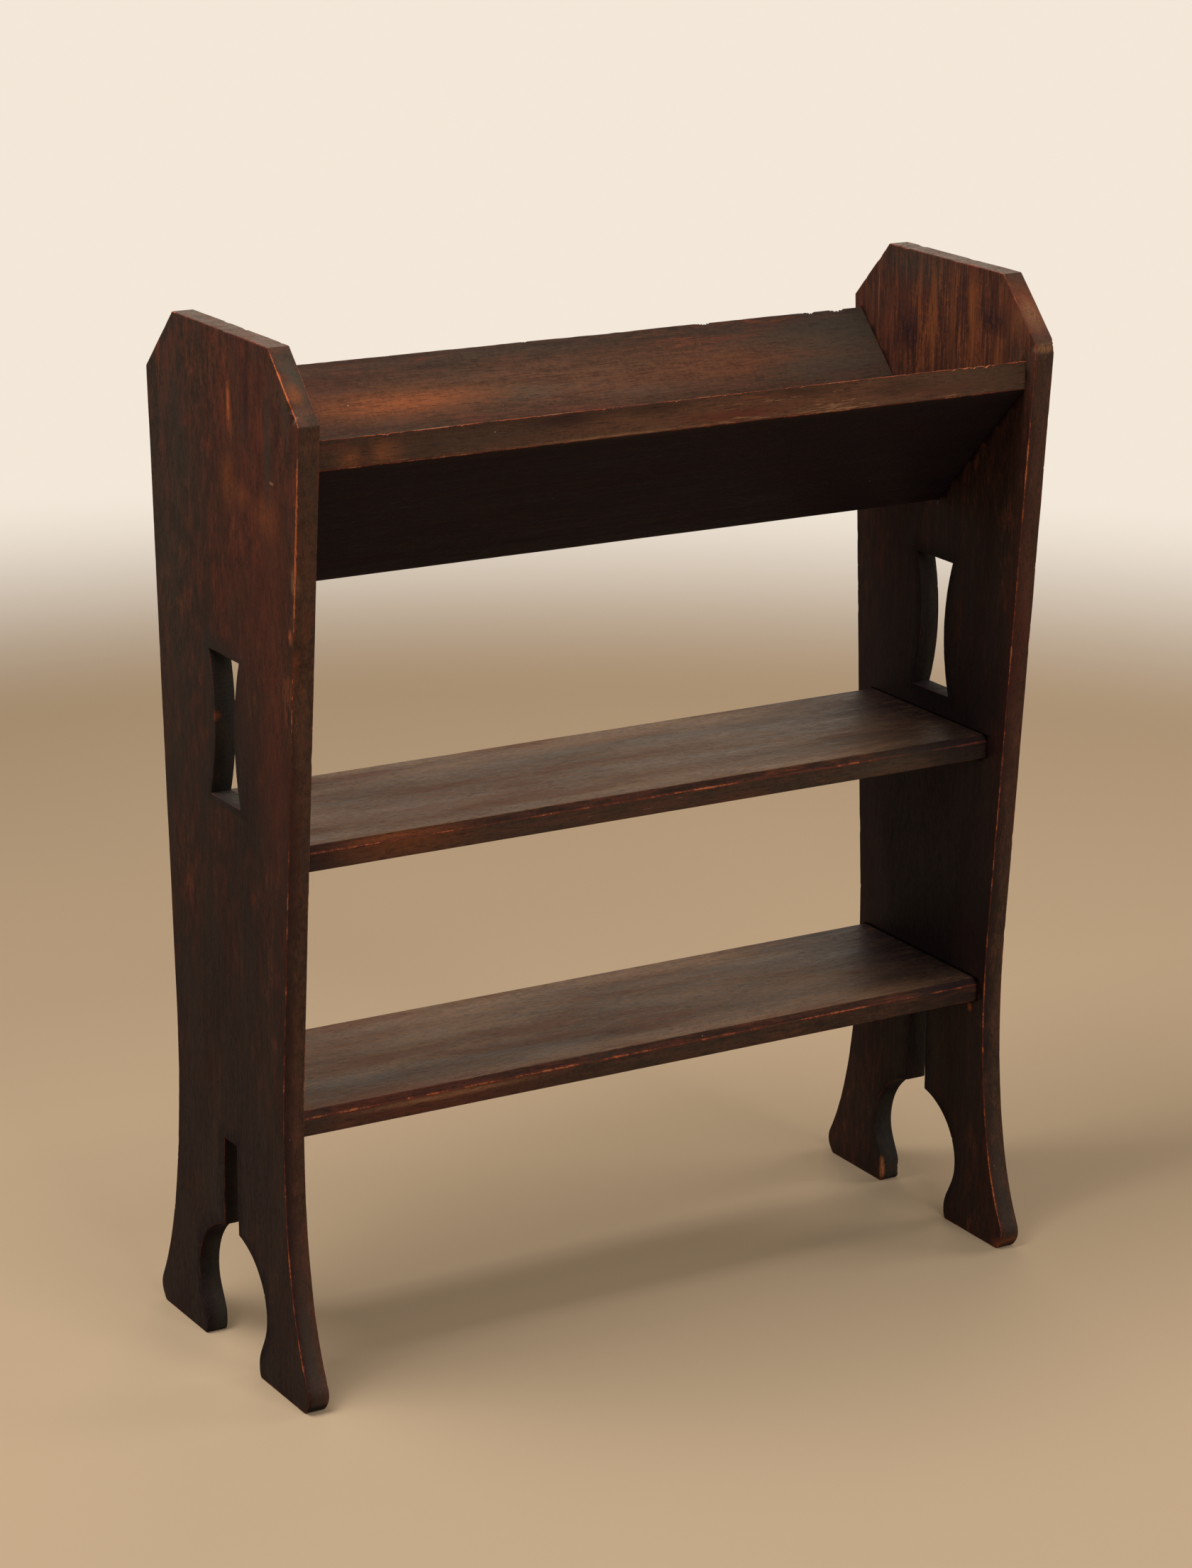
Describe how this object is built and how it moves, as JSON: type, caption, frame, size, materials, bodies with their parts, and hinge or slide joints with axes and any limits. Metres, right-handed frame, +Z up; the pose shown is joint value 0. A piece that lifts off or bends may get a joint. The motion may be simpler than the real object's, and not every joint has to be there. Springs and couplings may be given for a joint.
{
  "type": "book trough",
  "caption": "free-standing dark oak book trough with a V-shaped top for books, two flat shelves and slab ends cut out into feet",
  "frame": {"origin": "on the floor under the middle of the trough, midway between the two ends and midway between front and back", "axes": "+Z up from the floor, +X along the length from the left end to the right end, front faces -Y"},
  "size_m": [0.66, 0.2572, 0.809],
  "materials": {
    "end_oak": "dark fumed oak with a thin worn wax finish, grain upright",
    "board_oak": "dark fumed oak with a thin worn wax finish, grain along the length",
    "dowel_wood": "plain unfinished beech dowel, glued in"
  },
  "bodies": {
    "root": {"left_end": "end_oak", "right_end": "end_oak", "trough_front_board": "board_oak", "trough_back_board": "board_oak", "upper_shelf": "board_oak", "lower_shelf": "board_oak", "trough_front_board_left_dowel_low": "dowel_wood", "trough_front_board_left_dowel_high": "dowel_wood", "trough_front_board_right_dowel_low": "dowel_wood", "trough_front_board_right_dowel_high": "dowel_wood", "trough_back_board_left_dowel_low": "dowel_wood", "trough_back_board_left_dowel_high": "dowel_wood", "trough_back_board_right_dowel_low": "dowel_wood", "trough_back_board_right_dowel_high": "dowel_wood", "upper_shelf_left_dowel_front": "dowel_wood", "upper_shelf_left_dowel_middle": "dowel_wood", "upper_shelf_left_dowel_back": "dowel_wood", "upper_shelf_right_dowel_front": "dowel_wood", "upper_shelf_right_dowel_middle": "dowel_wood", "upper_shelf_right_dowel_back": "dowel_wood", "lower_shelf_left_dowel_front": "dowel_wood", "lower_shelf_left_dowel_middle": "dowel_wood", "lower_shelf_left_dowel_back": "dowel_wood", "lower_shelf_right_dowel_front": "dowel_wood", "lower_shelf_right_dowel_middle": "dowel_wood", "lower_shelf_right_dowel_back": "dowel_wood", "trough_point_dowel_1": "dowel_wood", "trough_point_dowel_2": "dowel_wood", "trough_point_dowel_3": "dowel_wood", "trough_point_dowel_4": "dowel_wood"}
  },
  "joints": []
}
